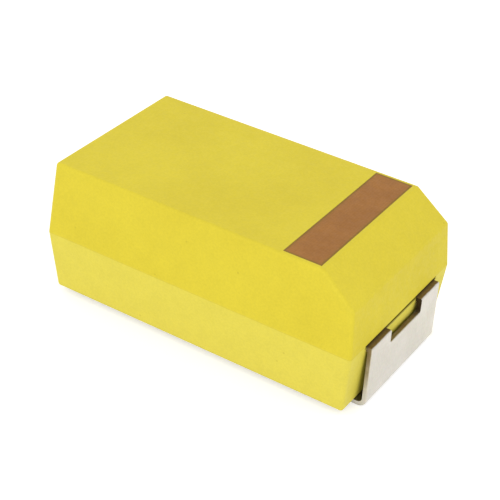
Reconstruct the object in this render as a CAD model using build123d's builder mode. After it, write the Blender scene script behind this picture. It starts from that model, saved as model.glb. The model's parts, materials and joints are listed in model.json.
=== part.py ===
from build123d import *
import os
from math import radians, tan

# Moulded tantalum chip capacitor, metric size 6032-28, in millimetres.
#
# X runs from the cathode end to the anode end, Y across and Z up from the circuit board.
# The origin is on the board, under the middle of the part. The case is cast round the two
# sheet leads and the coated pellet between them, so its cavity is cut with those pieces.

# ---------------------------------------------------------------- outside of the case
overall_length = 6.0  # over the outer faces of the two terminals
case_width = 3.26  # at the parting line
case_height = 2.41
parting_height = 1.10  # of the parting plane above the underside
draft_angle = 5.0  # degrees, on all sides, both ways from the parting plane
edge_radius = 0.06  # every edge of the case but its parting line
bevel_length = 0.55  # of the polarity bevel, back along the top from the anode end
bevel_height = 0.50

# ---------------------------------------------------------------- polarity stripe
stripe_width = 0.67  # along X
stripe_depth = 0.02  # of the marked layer, flush with the top
stripe_setback = 0.01  # from the rounded edge of the bevel
stripe_margin = 0.02  # from the rounded edge of the top, at each end of the stripe

# ---------------------------------------------------------------- sheet leads, outside
sheet_thickness = 0.08
terminal_width = 2.24
end_clearance = 0.02  # between an end plate and the parting line of the case
foot_length = 1.3  # from the outer face of the end plate
foot_clearance = 0.02  # between a foot and the underside of the case
exit_radius = 0.03  # outside radius where a lead turns down, coined against the case
foot_bend = 0.08  # inside radius where it turns under
notch_width = 1.0  # between the two prongs of the anode lead
notch_bottom = 0.90  # above the board
notch_corner = 0.05
lead_relief = 0.045  # height of the gap left over a lead where it comes out
relief_depth = 0.06
relief_side = 0.04  # extra width of that gap, at each side of the lead

# ---------------------------------------------------------------- glue pad on the underside
pad_width = 2.4
pad_gap = 0.30  # between the pad and the end of each foot
pad_clearance = 0.06  # between the pad and the board

# ---------------------------------------------------------------- sheet leads, inside
notch_inside = 0.30  # how far the notch runs into the case
bridge_length = 0.18  # sheet that joins the prongs behind the notch
joggle_run = 0.20  # along X, where the anode lead steps up to the wire
joggle_bend = 0.05  # inside radius
weld_length = 0.45  # flat of the tab that the wire lies on
tab_width = 1.4
tab_gap = 0.12  # between the tab and the washer
cathode_wall = 0.50  # moulding between the cathode end and the step of its lead
cathode_shoulder = 0.20  # lead at the terminal's full width inside the case, at parting level
paddle_width = 1.6
paddle_length = 2.0  # under the pellet, from the step
step_bend = 0.08  # inside radius

# ---------------------------------------------------------------- pellet and its coats
floor_wall = 0.25  # moulding under the paddle
roof_wall = 0.30  # moulding over the silver coat
side_wall = 0.34  # moulding beside the silver coat, at the parting plane
dioxide_thickness = 0.06
graphite_thickness = 0.04
silver_thickness = 0.05
adhesive_thickness = 0.05
adhesive_margin = 0.10  # bare sheet at each side of the adhesive
adhesive_height = 0.45  # up the step, from the paddle
graphite_rim = 0.15  # bare rim left at the anode face of the pellet
silver_rim = 0.25
pellet_corner = 0.15  # long edges of the bare pellet
wire_diameter = 0.28
wire_flat = 0.03  # how far the weld sinks the wire below its round
wire_end_gap = 0.05  # from the end of the wire to the joggle
pellet_behind_wire = 1.1  # tantalum beyond the blind end of the wire
washer_diameter = 0.90
washer_thickness = 0.15

# ---------------------------------------------------------------- levels, worked out
case_bottom = sheet_thickness + foot_clearance
case_top = case_bottom + case_height
parting_z = case_bottom + parting_height
lead_top_z = parting_z - lead_relief
paddle_top_z = case_bottom + floor_wall + sheet_thickness
silver_bottom_z = paddle_top_z + adhesive_thickness
silver_top_z = case_top - roof_wall
wire_z = (silver_bottom_z + silver_top_z) / 2
tab_top_z = wire_z - wire_diameter / 2 + wire_flat

# ---------------------------------------------------------------- places along X, worked out
plate_x = overall_length / 2
case_end_x = plate_x - sheet_thickness - end_clearance
draft = tan(radians(draft_angle))
top_half_width = case_width / 2 - (case_top - parting_z) * draft
bevel_top_x = case_end_x - (case_top - parting_z) * draft - bevel_length
bevel_foot_z = case_top - bevel_height
bevel_foot_x = case_end_x - (bevel_foot_z - parting_z) * draft
foot_end_x = plate_x - foot_length

notch_end_x = case_end_x - notch_inside
shoulder_x = notch_end_x - bridge_length
full_width_x = shoulder_x + joggle_bend  # the bridge is as wide as the terminal from here
joggle_top_x = shoulder_x - joggle_run
tab_end_x = joggle_top_x - weld_length
wire_end_x = joggle_top_x - wire_end_gap
pellet_front_x = tab_end_x - tab_gap - washer_thickness

coats = dioxide_thickness + graphite_thickness + silver_thickness
cathode_shoulder_x = cathode_shoulder - case_end_x
step_face_x = cathode_wall + sheet_thickness - case_end_x
pellet_back_x = step_face_x + adhesive_thickness + coats
pellet_length = pellet_front_x - pellet_back_x
pellet_width = case_width - 2 * (side_wall + coats)
pellet_height = silver_top_z - silver_bottom_z - 2 * coats
wire_start_x = pellet_back_x + pellet_behind_wire


def sheet_strip(points, bends, width, side):
    """Add a bent strip of sheet. The points follow its upper and outer face in the XZ plane."""
    with BuildSketch(Plane.XZ) as profile:
        with BuildLine():
            FilletPolyline(points, radius=bends)
            offset(amount=sheet_thickness, side=side)
        make_face()
    extrude(profile.sketch, amount=width / 2, both=True)


def pellet_block(growth, front_x, mode=Mode.ADD):
    """Add or cut the pellet's block, grown all round and at the back, as far as front_x."""
    back_x = pellet_back_x - growth
    with BuildSketch(Plane.YZ.offset(back_x)) as section:
        with Locations((0, wire_z)):
            RectangleRounded(
                pellet_width + 2 * growth,
                pellet_height + 2 * growth,
                pellet_corner + growth,
            )
    extrude(section.sketch, amount=front_x - back_x, mode=mode)


def round_bar(diameter, start_x, end_x, mode=Mode.ADD):
    """Add or cut a round bar on the axis of the riser wire."""
    with BuildSketch(Plane.YZ.offset(start_x)) as section:
        with Locations((0, wire_z)):
            Circle(diameter / 2)
    extrude(section.sketch, amount=end_x - start_x, mode=mode)


# ---------------------------------------------------------------- anode terminal
with BuildPart() as anode_terminal:
    # Tab inside the case: a flat for the wire, then a joggle down to the level of the exit.
    sheet_strip(
        [
            (tab_end_x, tab_top_z),
            (joggle_top_x, tab_top_z),
            (shoulder_x, lead_top_z),
            (notch_end_x, lead_top_z),
        ],
        [joggle_bend + sheet_thickness, joggle_bend],
        tab_width,
        Side.RIGHT,
    )
    # Out of the case, down its end and under it.
    sheet_strip(
        [
            (full_width_x, lead_top_z),
            (plate_x, lead_top_z),
            (plate_x, 0),
            (foot_end_x, 0),
        ],
        [0, foot_bend + sheet_thickness],
        terminal_width,
        Side.RIGHT,
    )
    exit_corner = edges().filter_by(Axis.Y).group_by(Axis.X)[-1].sort_by(Axis.Z)[-1]
    fillet(exit_corner, exit_radius)
    # The notch runs over the bend, from the end plate to a little way inside the case.
    with BuildSketch(Plane.YZ.offset(notch_end_x)) as notch:
        with Locations((0, notch_bottom)):
            Rectangle(notch_width, parting_z - notch_bottom, align=(Align.CENTER, Align.MIN))
        # Only its two lower corners are rounded: up is the Y axis of this sketch.
        fillet(notch.vertices().group_by(Axis.Y)[0], notch_corner)
    extrude(amount=plate_x - notch_end_x, mode=Mode.SUBTRACT)

# ---------------------------------------------------------------- cathode terminal
with BuildPart() as cathode_terminal:
    # Paddle under the pellet, up the step and out to the full width.
    sheet_strip(
        [
            (step_face_x + paddle_length, paddle_top_z),
            (step_face_x, paddle_top_z),
            (step_face_x, lead_top_z),
            (cathode_shoulder_x, lead_top_z),
        ],
        [step_bend, step_bend + sheet_thickness],
        paddle_width,
        Side.LEFT,
    )
    # Out of the case, down its end and under it.
    sheet_strip(
        [
            (cathode_shoulder_x, lead_top_z),
            (-plate_x, lead_top_z),
            (-plate_x, 0),
            (-foot_end_x, 0),
        ],
        [0, foot_bend + sheet_thickness],
        terminal_width,
        Side.LEFT,
    )
    exit_corner = edges().filter_by(Axis.Y).group_by(Axis.X)[0].sort_by(Axis.Z)[-1]
    fillet(exit_corner, exit_radius)

# ---------------------------------------------------------------- pellet, wire and washer
with BuildPart() as tantalum_pellet:
    pellet_block(0, pellet_front_x)
    round_bar(wire_diameter, wire_start_x, pellet_front_x, mode=Mode.SUBTRACT)

with BuildPart() as riser_wire:
    round_bar(wire_diameter, wire_start_x, wire_end_x)
    # Flat where the wire is welded down on the tab.
    with BuildSketch(Plane.XY.offset(tab_top_z)):
        with Locations((tab_end_x, 0)):
            Rectangle(weld_length, wire_diameter, align=(Align.MIN, Align.CENTER))
    extrude(amount=-wire_diameter, mode=Mode.SUBTRACT)

with BuildPart() as wire_washer:
    round_bar(washer_diameter, pellet_front_x, pellet_front_x + washer_thickness)
    round_bar(wire_diameter, pellet_front_x, pellet_front_x + washer_thickness, mode=Mode.SUBTRACT)

# ---------------------------------------------------------------- coats, from the inside out
with BuildPart() as manganese_dioxide_coat:
    pellet_block(dioxide_thickness, pellet_front_x + dioxide_thickness)
    pellet_block(0, pellet_front_x, mode=Mode.SUBTRACT)
    # The washer keeps the wire clear of the coat.
    round_bar(
        washer_diameter,
        pellet_front_x,
        pellet_front_x + dioxide_thickness,
        mode=Mode.SUBTRACT,
    )

with BuildPart() as graphite_coat:
    pellet_block(dioxide_thickness + graphite_thickness, pellet_front_x - graphite_rim)
    pellet_block(dioxide_thickness, pellet_front_x, mode=Mode.SUBTRACT)

with BuildPart() as silver_coat:
    pellet_block(coats, pellet_front_x - silver_rim)
    pellet_block(dioxide_thickness + graphite_thickness, pellet_front_x, mode=Mode.SUBTRACT)

# ---------------------------------------------------------------- adhesive on the paddle
with BuildPart() as silver_adhesive:
    with BuildSketch(Plane.XY.offset(paddle_top_z)):
        with Locations((step_face_x, 0)):
            Rectangle(
                paddle_length - adhesive_margin,
                paddle_width - 2 * adhesive_margin,
                align=(Align.MIN, Align.CENTER),
            )
    extrude(amount=adhesive_height)
    pellet_block(coats, pellet_front_x, mode=Mode.SUBTRACT)
    add(cathode_terminal.part, mode=Mode.SUBTRACT)

# ---------------------------------------------------------------- polarity stripe
with BuildPart() as polarity_stripe:
    with BuildSketch(Plane.XY.offset(case_top)):
        with Locations((bevel_top_x - edge_radius - stripe_setback, 0)):
            Rectangle(
                stripe_width,
                2 * (top_half_width - edge_radius - stripe_margin),
                align=(Align.MAX, Align.CENTER),
            )
    extrude(amount=-stripe_depth)

# ---------------------------------------------------------------- moulded case
inserts = [
    anode_terminal,
    cathode_terminal,
    tantalum_pellet,
    riser_wire,
    wire_washer,
    manganese_dioxide_coat,
    graphite_coat,
    silver_coat,
    silver_adhesive,
    polarity_stripe,
]

with BuildPart() as moulded_case:
    # Two halves, both drawn at the parting plane and drafted away from it.
    with BuildSketch(Plane.XY.offset(parting_z)):
        Rectangle(2 * case_end_x, case_width)
    extrude(amount=case_top - parting_z, taper=draft_angle)
    with BuildSketch(Plane.XY.offset(parting_z)):
        Rectangle(2 * case_end_x, case_width)
    extrude(amount=-parting_height, taper=draft_angle)

    # Polarity bevel along the top edge of the anode end.
    bevel_normal = (case_top - bevel_foot_z, 0, bevel_foot_x - bevel_top_x)
    split(bisect_by=Plane((bevel_top_x, 0, case_top), z_dir=bevel_normal), keep=Keep.BOTTOM)

    # Every edge is rounded but the parting line.
    parting_line = edges().filter_by_position(Axis.Z, parting_z, parting_z)
    fillet(edges() - parting_line, edge_radius)

    # Glue pad on the underside, between the feet.
    with BuildSketch(Plane.XY.offset(pad_clearance)):
        Rectangle(2 * (foot_end_x - pad_gap), pad_width)
    extrude(amount=case_bottom - pad_clearance)

    # Gaps over the leads where they come out, under the overhang of the upper half. The gap
    # at the anode end runs on across the notch.
    with BuildSketch(Plane.XY.offset(lead_top_z)):
        with Locations((case_end_x, 0), (-case_end_x, 0)):
            Rectangle(2 * relief_depth, terminal_width + 2 * relief_side)
    extrude(amount=lead_relief, mode=Mode.SUBTRACT)

    # The compound is cast round the leads and the coated pellet, and the stripe lies in it.
    for insert in inserts:
        add(insert.part, mode=Mode.SUBTRACT)

# ---------------------------------------------------------------- STEP files
pieces = {
    "moulded_case": moulded_case,
    "polarity_stripe": polarity_stripe,
    "anode_terminal": anode_terminal,
    "cathode_terminal": cathode_terminal,
    "tantalum_pellet": tantalum_pellet,
    "riser_wire": riser_wire,
    "wire_washer": wire_washer,
    "manganese_dioxide_coat": manganese_dioxide_coat,
    "graphite_coat": graphite_coat,
    "silver_coat": silver_coat,
    "silver_adhesive": silver_adhesive,
}

os.makedirs("parts", exist_ok=True)
for name, piece in pieces.items():
    piece.part.label = name
    export_step(piece.part, f"parts/{name}.step")
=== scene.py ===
import json
import math

import bmesh
import bpy
from mathutils import Matrix, Vector


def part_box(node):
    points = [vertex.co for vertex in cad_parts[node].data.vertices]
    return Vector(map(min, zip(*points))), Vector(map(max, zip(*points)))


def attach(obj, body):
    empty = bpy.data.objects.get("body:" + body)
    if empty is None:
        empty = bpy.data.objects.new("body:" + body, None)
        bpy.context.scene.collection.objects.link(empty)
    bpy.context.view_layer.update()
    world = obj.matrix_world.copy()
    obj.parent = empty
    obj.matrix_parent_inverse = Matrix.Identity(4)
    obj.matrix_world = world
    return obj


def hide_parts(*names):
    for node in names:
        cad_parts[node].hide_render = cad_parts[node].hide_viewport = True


# A moulded tantalum chip capacitor on a pale floor. Lengths are millimetres until they
# are handed to Blender, which works in metres: MM turns one into the other.

MM = 0.001

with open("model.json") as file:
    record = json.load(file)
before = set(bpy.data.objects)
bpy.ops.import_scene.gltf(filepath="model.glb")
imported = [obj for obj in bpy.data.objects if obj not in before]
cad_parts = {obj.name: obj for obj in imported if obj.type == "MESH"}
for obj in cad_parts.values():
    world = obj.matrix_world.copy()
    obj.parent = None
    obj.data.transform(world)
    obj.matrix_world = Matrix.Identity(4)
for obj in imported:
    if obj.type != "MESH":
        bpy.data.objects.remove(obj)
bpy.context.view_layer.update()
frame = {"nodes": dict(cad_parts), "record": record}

# ---------------------------------------------------------------- sizes of the part
SHEET_THICKNESS = 0.08  # of both leads
LEAD_RELIEF = 0.045  # gap over a lead where it comes out, up to the parting line
NOTCH_HALF = 0.5  # half the width of the notch in the anode lead
FOOT_LENGTH = 1.3  # from the outer face of the end plate
EXIT_RADIUS = 0.03  # outside of a lead's bend where it leaves the case
FOOT_RADIUS = 0.16  # and of its bend into the foot

# Places, from the frame.
case_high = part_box("moulded_case")[1] / MM
stripe_low, stripe_high = [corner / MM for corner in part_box("polarity_stripe")]
lead_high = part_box("cathode_terminal")[1] / MM
plate_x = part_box("anode_terminal")[1].x / MM
lead_top_z = lead_high.z
parting_z = lead_top_z + LEAD_RELIEF
foot_end_x = plate_x - FOOT_LENGTH

# Marks of making, and painted shade in the narrow gaps and under the parting line, drawn by the
# finishes.
SEAM_SHADE_BAND = 0.076  # height of the painted shade band under the parting line, where the leads come out
SEAM_SHADE_MARGIN = 0.05  # how far it runs past a lead, at each side
CREVICE_REACH = 0.16  # gaps narrower than this are darkened with painted shade
LINE_PITCH = 0.045  # of the fine lines in the stripe


# ---------------------------------------------------------------- shader building
class Finish:
    """One material's node tree, with sockets for the patterns that the finishes share.

    Pattern sizes are in millimetres on the object, so a grain of 0.03 is 0.03 mm across.
    """

    def __init__(self, name):
        self.material = bpy.data.materials.new(name)
        self.material.use_nodes = True
        self.tree = self.material.node_tree
        self.shader = self.tree.nodes["Principled BSDF"]
        coordinates = self.tree.nodes.new("ShaderNodeTexCoord")
        self.place = self.vector("SCALE", coordinates.outputs["Object"], scale=1 / MM)
        split = self.tree.nodes.new("ShaderNodeSeparateXYZ")
        self.link(self.place, split.inputs[0])
        self.x, self.y, self.z = split.outputs
        geometry = self.tree.nodes.new("ShaderNodeNewGeometry")
        facing = self.tree.nodes.new("ShaderNodeSeparateXYZ")
        self.link(geometry.outputs["True Normal"], facing.inputs[0])
        self.facing_x, self.facing_y, self.facing_z = facing.outputs

    def link(self, source, target):
        """Join a socket, or set a plain value."""
        if isinstance(source, (int, float)):
            target.default_value = source
        elif isinstance(source, tuple):
            target.default_value = (*source, 1)[: len(target.default_value)]
        else:
            self.tree.links.new(source, target)

    def vector(self, operation, a, b=None, scale=None):
        node = self.tree.nodes.new("ShaderNodeVectorMath")
        node.operation = operation
        self.link(a, node.inputs[0])
        if b is not None:
            self.link(b, node.inputs[1])
        if scale is not None:
            node.inputs["Scale"].default_value = scale
        return node.outputs[0]

    def math(self, operation, a, b=0.0, c=0.0):
        node = self.tree.nodes.new("ShaderNodeMath")
        node.operation = operation
        for value, socket in zip((a, b, c), node.inputs):
            self.link(value, socket)
        return node.outputs[0]

    def noise(self, size, detail=3.0, stretch=(1, 1, 1), shift=0.0):
        """Cloudy pattern about 0.5, with lumps of that size, longer along a stretched axis."""
        mapping = self.tree.nodes.new("ShaderNodeMapping")
        self.link(self.place, mapping.inputs["Vector"])
        mapping.inputs["Scale"].default_value = [1 / (size * s) for s in stretch]
        mapping.inputs["Location"].default_value = (shift, shift, shift)
        node = self.tree.nodes.new("ShaderNodeTexNoise")
        self.link(mapping.outputs[0], node.inputs["Vector"])
        node.inputs["Scale"].default_value = 1
        node.inputs["Detail"].default_value = detail
        return node.outputs["Fac"]

    def cells(self, size, output="Distance", stretch=(1, 1, 1), shift=0.0):
        """Grains of that size, each rising from its middle, or each of its own colour."""
        mapping = self.tree.nodes.new("ShaderNodeMapping")
        self.link(self.place, mapping.inputs["Vector"])
        mapping.inputs["Scale"].default_value = [1 / (size * s) for s in stretch]
        mapping.inputs["Location"].default_value = (shift, shift, shift)
        node = self.tree.nodes.new("ShaderNodeTexVoronoi")
        self.link(mapping.outputs[0], node.inputs["Vector"])
        node.inputs["Scale"].default_value = 1
        return node.outputs[output]

    def ramp(self, value, low, high, start=0.0, end=1.0):
        """Smooth step from start to end while value goes from low to high."""
        node = self.tree.nodes.new("ShaderNodeMapRange")
        node.interpolation_type = "SMOOTHSTEP"
        self.link(value, node.inputs["Value"])
        node.inputs["From Min"].default_value = low
        node.inputs["From Max"].default_value = high
        node.inputs["To Min"].default_value = start
        node.inputs["To Max"].default_value = end
        return node.outputs["Result"]

    def spread(self, noise, start=0.0, end=1.0):
        """A noise, which seldom leaves 0.3 to 0.7, spread over start to end."""
        return self.ramp(noise, 0.3, 0.7, start, end)

    def wobble(self, size, reach, shift=0.0):
        """A length that wanders by half that reach to either side of nothing."""
        return self.math("MULTIPLY_ADD", self.noise(size, shift=shift), reach, -reach / 2)

    def mix(self, factor, a, b, blend="MIX"):
        node = self.tree.nodes.new("ShaderNodeMix")
        node.data_type = "RGBA"
        node.blend_type = blend
        self.link(factor, node.inputs["Factor"])
        self.link(a, node.inputs["A"])
        self.link(b, node.inputs["B"])
        return node.outputs["Result"]

    def shade(self, color, value):
        """A colour made darker or lighter by a factor that varies over the surface."""
        node = self.tree.nodes.new("ShaderNodeVectorMath")
        node.operation = "SCALE"
        self.link(color, node.inputs[0])
        self.link(value, node.inputs["Scale"])
        return node.outputs[0]

    def bump(self, height, depth, under=None):
        """Relief of that depth, laid over another relief if one is given."""
        node = self.tree.nodes.new("ShaderNodeBump")
        node.inputs["Distance"].default_value = depth * MM
        self.link(height, node.inputs["Height"])
        if under is not None:
            self.link(under, node.inputs["Normal"])
        return node.outputs["Normal"]

    def open_air(self, reach):
        """1 where the surface lies open, falling to 0 in a gap narrower than that reach."""
        node = self.tree.nodes.new("ShaderNodeAmbientOcclusion")
        node.samples = 16
        node.inputs["Distance"].default_value = reach * MM
        return node.outputs["AO"]

    def set(self, **sockets):
        """Feed the shader. Words in a socket's name are joined by underscores."""
        for name, value in sockets.items():
            self.link(value, self.shader.inputs[name.replace("_", " ").title()])
        return self.material


# ---------------------------------------------------------------- finishes that are seen
def case_epoxy():
    """Filled epoxy from a spark-eroded mould: fine even grain and faint clouds in the yellow."""
    f = Finish("case_epoxy")
    clouds = f.noise(1.6, detail=2, shift=3.1)
    mottle = f.noise(0.32, detail=4, shift=7.7)
    grain = f.noise(0.035, detail=2)
    yellow = f.mix(f.spread(clouds), (0.720, 0.590, 0.040), (0.750, 0.620, 0.044))
    # Painted light: the lower mould half is painted paler, standing in for light from the floor
    # below.
    ragged = f.wobble(0.12, 0.016)
    above = f.math("SUBTRACT", f.math("ADD", f.z, ragged), parting_z)
    yellow = f.mix(f.ramp(above, -0.02, 0.02, 1.0, 0.0), yellow, (0.780, 0.670, 0.088))
    yellow = f.shade(yellow, f.spread(mottle, 0.985, 1.015))
    yellow = f.shade(yellow, f.spread(grain, 0.975, 1.025))
    # A few specks of filler show at the surface.
    speck = f.ramp(f.cells(0.22, shift=1.3), 0.05, 0.11, 1.0, 0.0)
    rare = f.ramp(f.noise(0.5, detail=0, shift=5.0), 0.60, 0.66)
    speck = f.math("MULTIPLY", speck, f.math("MULTIPLY", rare, 0.28))
    yellow = f.mix(speck, yellow, (0.42, 0.30, 0.02))
    # The two halves meet in a hairline.
    hairline = f.ramp(f.math("ABSOLUTE", above), 0.003, 0.012, 1.0, 0.0)
    yellow = f.mix(f.math("MULTIPLY", hairline, 0.16), yellow, (0.40, 0.31, 0.02))
    # Painted shade: the yellow darkens in the narrow gaps behind the leads and in the relief over
    # them.
    painted_crevice_shade = f.ramp(f.open_air(CREVICE_REACH), 0.25, 0.85, 0.30, 0.0)
    yellow = f.mix(painted_crevice_shade, yellow, (0.10, 0.075, 0.008))
    # Painted shade: a dark band on the case under the parting line, between a lead's two sides, below
    # the relief over it.
    between = f.math("SUBTRACT", lead_high.y + SEAM_SHADE_MARGIN, f.math("ABSOLUTE", f.y))
    below = f.math("SUBTRACT", parting_z, f.math("ADD", f.z, ragged))
    in_band = f.math("MINIMUM", below, f.math("SUBTRACT", SEAM_SHADE_BAND, below))
    painted_seam_shade = f.math("MINIMUM", between, in_band)
    yellow = f.mix(f.ramp(painted_seam_shade, -0.006, 0.006, 0.0, 0.75), yellow, (0.13, 0.10, 0.006))
    waves = f.bump(f.noise(0.7, detail=1, shift=2.0), 0.010)
    fine = f.bump(grain, 0.0020, under=waves)
    pits = f.bump(f.cells(0.06, shift=4.0), 0.0015, under=fine)
    f.shader.inputs["Specular IOR Level"].default_value = 0.15
    return f.set(
        base_color=yellow,
        roughness=f.spread(f.noise(0.09, detail=3, shift=9.0), 0.48, 0.62),
        normal=pits,
    )


def stripe_mark():
    """Brown mark burnt into the case, in fine lines, darker where the beam turned at its edges."""
    f = Finish("stripe_mark")
    tone = f.noise(0.30, detail=4, shift=6.0)
    brown = f.mix(f.spread(tone), (0.345, 0.145, 0.034), (0.385, 0.165, 0.038))
    grain = f.noise(0.035, detail=2)
    brown = f.shade(brown, f.spread(grain, 0.95, 1.05))
    middle_x = (stripe_low.x + stripe_high.x) / 2
    middle_y = (stripe_low.y + stripe_high.y) / 2
    from_x = f.math("ABSOLUTE", f.math("SUBTRACT", f.x, middle_x))
    from_y = f.math("ABSOLUTE", f.math("SUBTRACT", f.y, middle_y))
    inside_x = f.math("SUBTRACT", (stripe_high.x - stripe_low.x) / 2, from_x)
    inside_y = f.math("SUBTRACT", (stripe_high.y - stripe_low.y) / 2, from_y)
    inside = f.math("MINIMUM", inside_x, inside_y)
    inside = f.math("ADD", inside, f.wobble(0.08, 0.03))
    border = f.ramp(inside, 0.012, 0.055, 1.0, 0.0)
    brown = f.mix(f.math("MULTIPLY", border, 0.75), brown, (0.215, 0.135, 0.012))
    # Lines of the mark run along the stripe.
    lines = f.math("SINE", f.math("MULTIPLY", f.x, 2 * math.pi / LINE_PITCH))
    brown = f.shade(brown, f.ramp(lines, -1, 1, 0.985, 1.015))
    scored = f.bump(lines, 0.0004)
    fine = f.bump(grain, 0.0020, under=scored)
    f.shader.inputs["Specular IOR Level"].default_value = 0.2
    return f.set(
        base_color=brown,
        roughness=f.spread(f.noise(0.09, detail=3, shift=9.0), 0.50, 0.66),
        normal=fine,
    )


def tinned_lead():
    """Sheet lead: matte tin over a copper alloy, bare where it was cut, with rolling marks, and
    painted shade on the prong tops, on the notch walls and in the gaps by the case.
    """
    f = Finish("tinned_lead")
    clouds = f.noise(0.45, detail=3, shift=1.0)
    tin = f.mix(f.spread(clouds), (0.608, 0.577, 0.511), (0.656, 0.623, 0.565))
    crystals = f.cells(0.030, output="Color")
    tin = f.mix(0.06, tin, crystals, blend="SOFT_LIGHT")
    rolled = f.noise(0.012, detail=3, stretch=(14, 1, 14), shift=2.0)
    tin = f.shade(tin, f.spread(rolled, 0.965, 1.03))

    # How deep a point lies in the sheet, below its outer face: the plate's or the foot's.
    across = f.math("ABSOLUTE", f.x)
    deep = f.math("MINIMUM", f.math("SUBTRACT", plate_x, across), f.z)
    sideways = f.ramp(f.math("ABSOLUTE", f.facing_y), 0.3, 0.5)
    upward = f.ramp(f.facing_z, 0.6, 0.9)
    above_foot = f.ramp(f.z, 4 * SHEET_THICKNESS, 5 * SHEET_THICKNESS)
    outward = f.math("MULTIPLY", f.facing_x, f.math("SIGN", f.x))
    inward = f.ramp(outward, -0.95, -0.75, 1.0, 0.0)
    at_foot_end = f.ramp(across, foot_end_x + 0.05, foot_end_x + 0.10, 1.0, 0.0)
    foot_end = f.math("MULTIPLY", inward, at_foot_end)
    # Painted shade: the top face of the prongs, under the relief, is painted as bare copper, though
    # it is tinned.
    shaded_prong_top = f.math("MULTIPLY", upward, above_foot)
    cut_and_shaded_top = f.math("MAXIMUM", f.math("MAXIMUM", sideways, shaded_prong_top), foot_end)
    torn = f.ramp(f.math("ADD", deep, f.wobble(0.10, 0.02, shift=3.0)), 0.008, 0.026)
    # Tin has run down over the lower part of the cut edges.
    drips = f.wobble(0.16, 0.5, shift=6.0)
    unwetted = f.ramp(f.math("ADD", f.z, drips), 0.25, 1.0, 0.12, 1.0)
    off_middle = f.math("ABSOLUTE", f.y)
    at_notch = f.ramp(off_middle, NOTCH_HALF + 0.01, NOTCH_HALF + 0.03, 1.0, 0.0)
    in_notch = f.math("MULTIPLY", sideways, at_notch)
    bare_and_shaded = f.math("MULTIPLY", cut_and_shaded_top, f.math("MULTIPLY", f.math("MAXIMUM", torn, in_notch), unwetted))
    shear_marks = f.noise(0.007, detail=3, stretch=(6, 1, 6), shift=8.0)
    copper_and_shade = f.mix(f.spread(shear_marks), (0.155, 0.100, 0.028), (0.225, 0.148, 0.050))
    # Painted shade: the notch's walls are painted nearly black.
    copper_and_shade = f.mix(f.math("MULTIPLY", in_notch, 0.9), copper_and_shade, (0.030, 0.016, 0.004))
    # The long sides keep a trace of tin, and the notch's walls none.
    flank = f.math("MAXIMUM", in_notch, f.ramp(sideways, 0.0, 1.0, 1.0, 0.85))
    bare_and_shaded = f.math("MULTIPLY", bare_and_shaded, flank)
    color = f.mix(bare_and_shaded, tin, copper_and_shade)
    # Painted shade: the lead darkens in the narrow gaps by the case.
    painted_crevice_shade = f.ramp(f.open_air(CREVICE_REACH), 0.2, 0.7, 0.4, 0.0)
    color = f.mix(painted_crevice_shade, color, (0.05, 0.035, 0.010))
    rough_tin = f.spread(f.noise(0.05, detail=4, shift=4.0), 0.34, 0.46)
    rough = f.math("MULTIPLY_ADD", bare_and_shaded, 0.12, rough_tin)
    dents = f.bump(f.noise(0.30, detail=2, shift=5.0), 0.004)
    marks = f.bump(rolled, 0.0008, under=dents)
    fine = f.bump(f.cells(0.030), 0.0008, under=marks)
    return f.set(
        base_color=color,
        metallic=f.math("MULTIPLY_ADD", bare_and_shaded, -0.35, 1.0),
        roughness=rough,
        normal=fine,
    )


# ---------------------------------------------------------------- finishes sealed inside
def granular(name, dark, light, size, roughness, depth, metallic=0.0, stretch=(1, 1, 1)):
    """A powdery, brushed or sintered surface: two tones, grains of one size and their relief."""
    f = Finish(name)
    tone = f.noise(8 * size, detail=4, stretch=stretch)
    color = f.mix(f.spread(tone), dark, light)
    grains = f.cells(size, stretch=stretch)
    color = f.shade(color, f.ramp(grains, 0.0, 0.9, 1.08, 0.85))
    lumps = f.bump(tone, 3 * depth)
    fine = f.bump(grains, depth, under=lumps)
    return f.set(
        base_color=color,
        metallic=metallic,
        roughness=f.spread(f.noise(3 * size, shift=4.0), roughness - 0.08, roughness + 0.08),
        normal=fine,
    )


def finishes():
    drawn = (12, 1, 1)
    return {
        "case_epoxy": case_epoxy(),
        "stripe_mark": stripe_mark(),
        "tinned_lead": tinned_lead(),
        "sintered_tantalum": granular(
            "sintered_tantalum", (0.085, 0.09, 0.105), (0.145, 0.15, 0.17), 0.025, 0.62, 0.006, 0.7
        ),
        "tantalum_wire": granular(
            "tantalum_wire", (0.20, 0.21, 0.23), (0.27, 0.28, 0.31), 0.008, 0.34, 0.0006, 1.0, drawn
        ),
        "fluoropolymer": granular(
            "fluoropolymer", (0.80, 0.80, 0.77), (0.88, 0.88, 0.86), 0.03, 0.42, 0.0008
        ),
        "manganese_dioxide": granular(
            "manganese_dioxide", (0.010, 0.009, 0.008), (0.022, 0.019, 0.018), 0.02, 0.72, 0.004
        ),
        "graphite": granular(
            "graphite", (0.018, 0.018, 0.019), (0.034, 0.034, 0.037), 0.03, 0.50, 0.002
        ),
        "silver_paint": granular(
            "silver_paint", (0.48, 0.47, 0.44), (0.60, 0.585, 0.55), 0.02, 0.48, 0.002, 0.6
        ),
        "silver_glue": granular(
            "silver_glue", (0.36, 0.35, 0.32), (0.46, 0.445, 0.41), 0.03, 0.50, 0.006, 0.5
        ),
    }


def dress(materials):
    """Give every CAD node the finish of its slot in the record."""
    for subpart in frame["record"]["subparts"]:
        mesh = frame["nodes"][subpart["node"]].data
        mesh.materials.clear()
        mesh.materials.append(materials[subpart["material_slot"]])


# ---------------------------------------------------------------- stamped edges of the leads
EDGE_ROLL = 0.010  # rounding of the edges on the outer face, where the punch drew them in
FACE_TOLERANCE = 0.0006  # a corner this near the outer face lies on it
WELD_DISTANCE = 0.0002  # corners of the CAD mesh this close are one
FLAT_ANGLE = math.radians(0.5)  # faces that meet at less are one face
SHEARED_ANGLE = math.radians(50)  # a sheared edge is at least this sharp
SHARP_ANGLE = math.radians(35)  # and edges sharper than this are shaded as sharp


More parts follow.
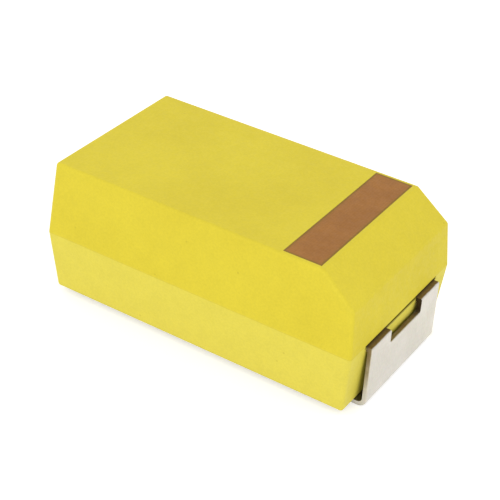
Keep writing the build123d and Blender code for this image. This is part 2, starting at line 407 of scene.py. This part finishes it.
def below_outer_face(point):
    """How far a point of a lead lies below the outer face of the bent sheet, in millimetres."""
    x, z = abs(point.x) / MM, point.z / MM
    radius = FOOT_RADIUS if z < lead_top_z / 2 else EXIT_RADIUS
    aside = max(x - (plate_x - radius), 0)
    along = max(radius - z, z - (lead_top_z - radius), 0)
    return radius - math.hypot(aside, along)


def is_rolled(edge):
    """Whether an edge was sheared on the outer face, and can be seen."""
    corners = [vertex.co for vertex in edge.verts]
    seen = any(abs(c.x) > case_high.x * MM or c.z < SHEET_THICKNESS * MM for c in corners)
    on_face = all(abs(below_outer_face(c)) < FACE_TOLERANCE for c in corners)
    return seen and on_face and edge.calc_face_angle(0) > SHEARED_ANGLE


def stamped_lead(node, material):
    """The lead with the sheared edges of its outer face rounded."""
    mesh = bpy.data.meshes.new(node + "_stamped")
    shape = bmesh.new()
    shape.from_mesh(frame["nodes"][node].data)
    bmesh.ops.remove_doubles(shape, verts=shape.verts, dist=WELD_DISTANCE * MM)
    bmesh.ops.dissolve_limit(
        shape, angle_limit=FLAT_ANGLE, verts=shape.verts, edges=shape.edges
    )
    bmesh.ops.bevel(
        shape, geom=[edge for edge in shape.edges if is_rolled(edge)], offset=EDGE_ROLL * MM,
        offset_type="OFFSET", segments=3, profile=0.5, affect="EDGES", clamp_overlap=False,
    )
    shape.to_mesh(mesh)
    shape.free()
    mesh.shade_smooth()
    mesh.set_sharp_from_angle(angle=SHARP_ANGLE)
    mesh.materials.append(material)
    piece = bpy.data.objects.new(node + "_stamped", mesh)
    bpy.context.scene.collection.objects.link(piece)
    # Flat faces keep flat shading where they run into a bend.
    even = piece.modifiers.new("even_shading", "WEIGHTED_NORMAL")
    even.keep_sharp = True
    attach(piece, "root")
    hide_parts(node)


# ---------------------------------------------------------------- floor, world and lamps
FLOOR_DROP = 0.002  # keeps the feet and the floor from sharing a plane
FLOOR_HALF = 400
FLOOR_LIFT = 0.50  # whiteness added for the eye alone, so that the floor reads white
TENT_WALL = 1.45  # strength of the tent's light at the horizon
TENT_ROOF = 0.68  # and overhead


def seen_directly(tree):
    """1 for rays that show the surroundings, as against rays that light a matt surface."""
    path = tree.nodes.new("ShaderNodeLightPath")
    shown = path.outputs["Is Camera Ray"]
    for kind in ("Is Glossy Ray", "Is Transmission Ray"):
        either = tree.nodes.new("ShaderNodeMath")
        either.operation = "MAXIMUM"
        tree.links.new(shown, either.inputs[0])
        tree.links.new(path.outputs[kind], either.inputs[1])
        shown = either.outputs[0]
    return shown


def add_floor():
    half = FLOOR_HALF * MM
    level = -FLOOR_DROP * MM
    corners = [(x, y, level) for x, y in ((-half, -half), (half, -half), (half, half), (-half, half))]
    mesh = bpy.data.meshes.new("floor")
    mesh.from_pydata(corners, [], [(0, 1, 2, 3)])
    floor = bpy.data.objects.new("floor", mesh)
    bpy.context.scene.collection.objects.link(floor)
    material = bpy.data.materials.new("floor")
    material.use_nodes = True
    tree = material.node_tree
    shader = tree.nodes["Principled BSDF"]
    shader.inputs["Base Color"].default_value = (0.80, 0.80, 0.80, 1)
    shader.inputs["Roughness"].default_value = 0.9
    shader.inputs["Specular IOR Level"].default_value = 0.0
    shader.inputs["Emission Color"].default_value = (1, 1, 1, 1)
    lift = tree.nodes.new("ShaderNodeMath")
    lift.operation = "MULTIPLY"
    tree.links.new(seen_directly(tree), lift.inputs[0])
    lift.inputs[1].default_value = FLOOR_LIFT
    tree.links.new(lift.outputs[0], shader.inputs["Emission Strength"])
    mesh.materials.append(material)


def add_world():
    """A light tent: brightest low down all round, so that every side of the part is lit alike."""
    world = bpy.data.worlds.new("light_tent")
    world.use_nodes = True
    bpy.context.scene.world = world
    tree = world.node_tree
    direction = tree.nodes.new("ShaderNodeTexCoord")
    split = tree.nodes.new("ShaderNodeSeparateXYZ")
    tree.links.new(direction.outputs["Generated"], split.inputs[0])
    tent = tree.nodes.new("ShaderNodeMapRange")
    tree.links.new(split.outputs["Z"], tent.inputs["Value"])
    tent.inputs["To Min"].default_value = TENT_WALL
    tent.inputs["To Max"].default_value = TENT_ROOF
    strength = tree.nodes.new("ShaderNodeMix")
    tree.links.new(seen_directly(tree), strength.inputs["Factor"])
    tree.links.new(tent.outputs["Result"], strength.inputs["A"])
    strength.inputs["B"].default_value = 1.0
    background = tree.nodes["Background"]
    background.inputs["Color"].default_value = (1, 1, 1, 1)
    tree.links.new(strength.outputs["Result"], background.inputs["Strength"])


def add_lamp(name, place, size, power):
    """A round soft box that faces the object."""
    data = bpy.data.lights.new(name, "AREA")
    data.shape = "DISK"
    data.size = size * MM
    data.energy = power
    lamp = bpy.data.objects.new(name, data)
    bpy.context.scene.collection.objects.link(lamp)
    lamp.location = Vector(place) * MM
    aim = Vector((0, 0, case_high.z / 2)) * MM
    lamp.rotation_euler = (aim - lamp.location).to_track_quat("-Z", "Y").to_euler()


# ---------------------------------------------------------------- camera
CAMERA_PLACE = Vector((10.150, -16.671, 14.158))
CAMERA_AIM = Vector((0.0639, -0.0161, 1.1797))
CAMERA_ROLL = math.radians(3.54)
CAMERA_LENS = 102.03
SENSOR = 36.0
CLIP_START = 1
CLIP_END = 10000


def add_camera():
    data = bpy.data.cameras.new("camera")
    data.lens = CAMERA_LENS
    data.sensor_width = SENSOR
    data.clip_start = CLIP_START * MM
    data.clip_end = CLIP_END * MM
    camera = bpy.data.objects.new("camera", data)
    bpy.context.scene.collection.objects.link(camera)
    look = (CAMERA_AIM - CAMERA_PLACE).to_track_quat("-Z", "Y").to_matrix().to_4x4()
    roll = Matrix.Rotation(CAMERA_ROLL, 4, "Z")
    camera.matrix_world = Matrix.Translation(CAMERA_PLACE * MM) @ look @ roll
    bpy.context.scene.camera = camera


# ---------------------------------------------------------------- the scene
materials = finishes()
dress(materials)
for terminal in ("anode_terminal", "cathode_terminal"):
    stamped_lead(terminal, materials["tinned_lead"])
add_floor()
add_world()
add_lamp("softbox", (15, -74, 30), 50, 0.009)
add_camera()
bpy.context.scene.view_settings.view_transform = "Standard"
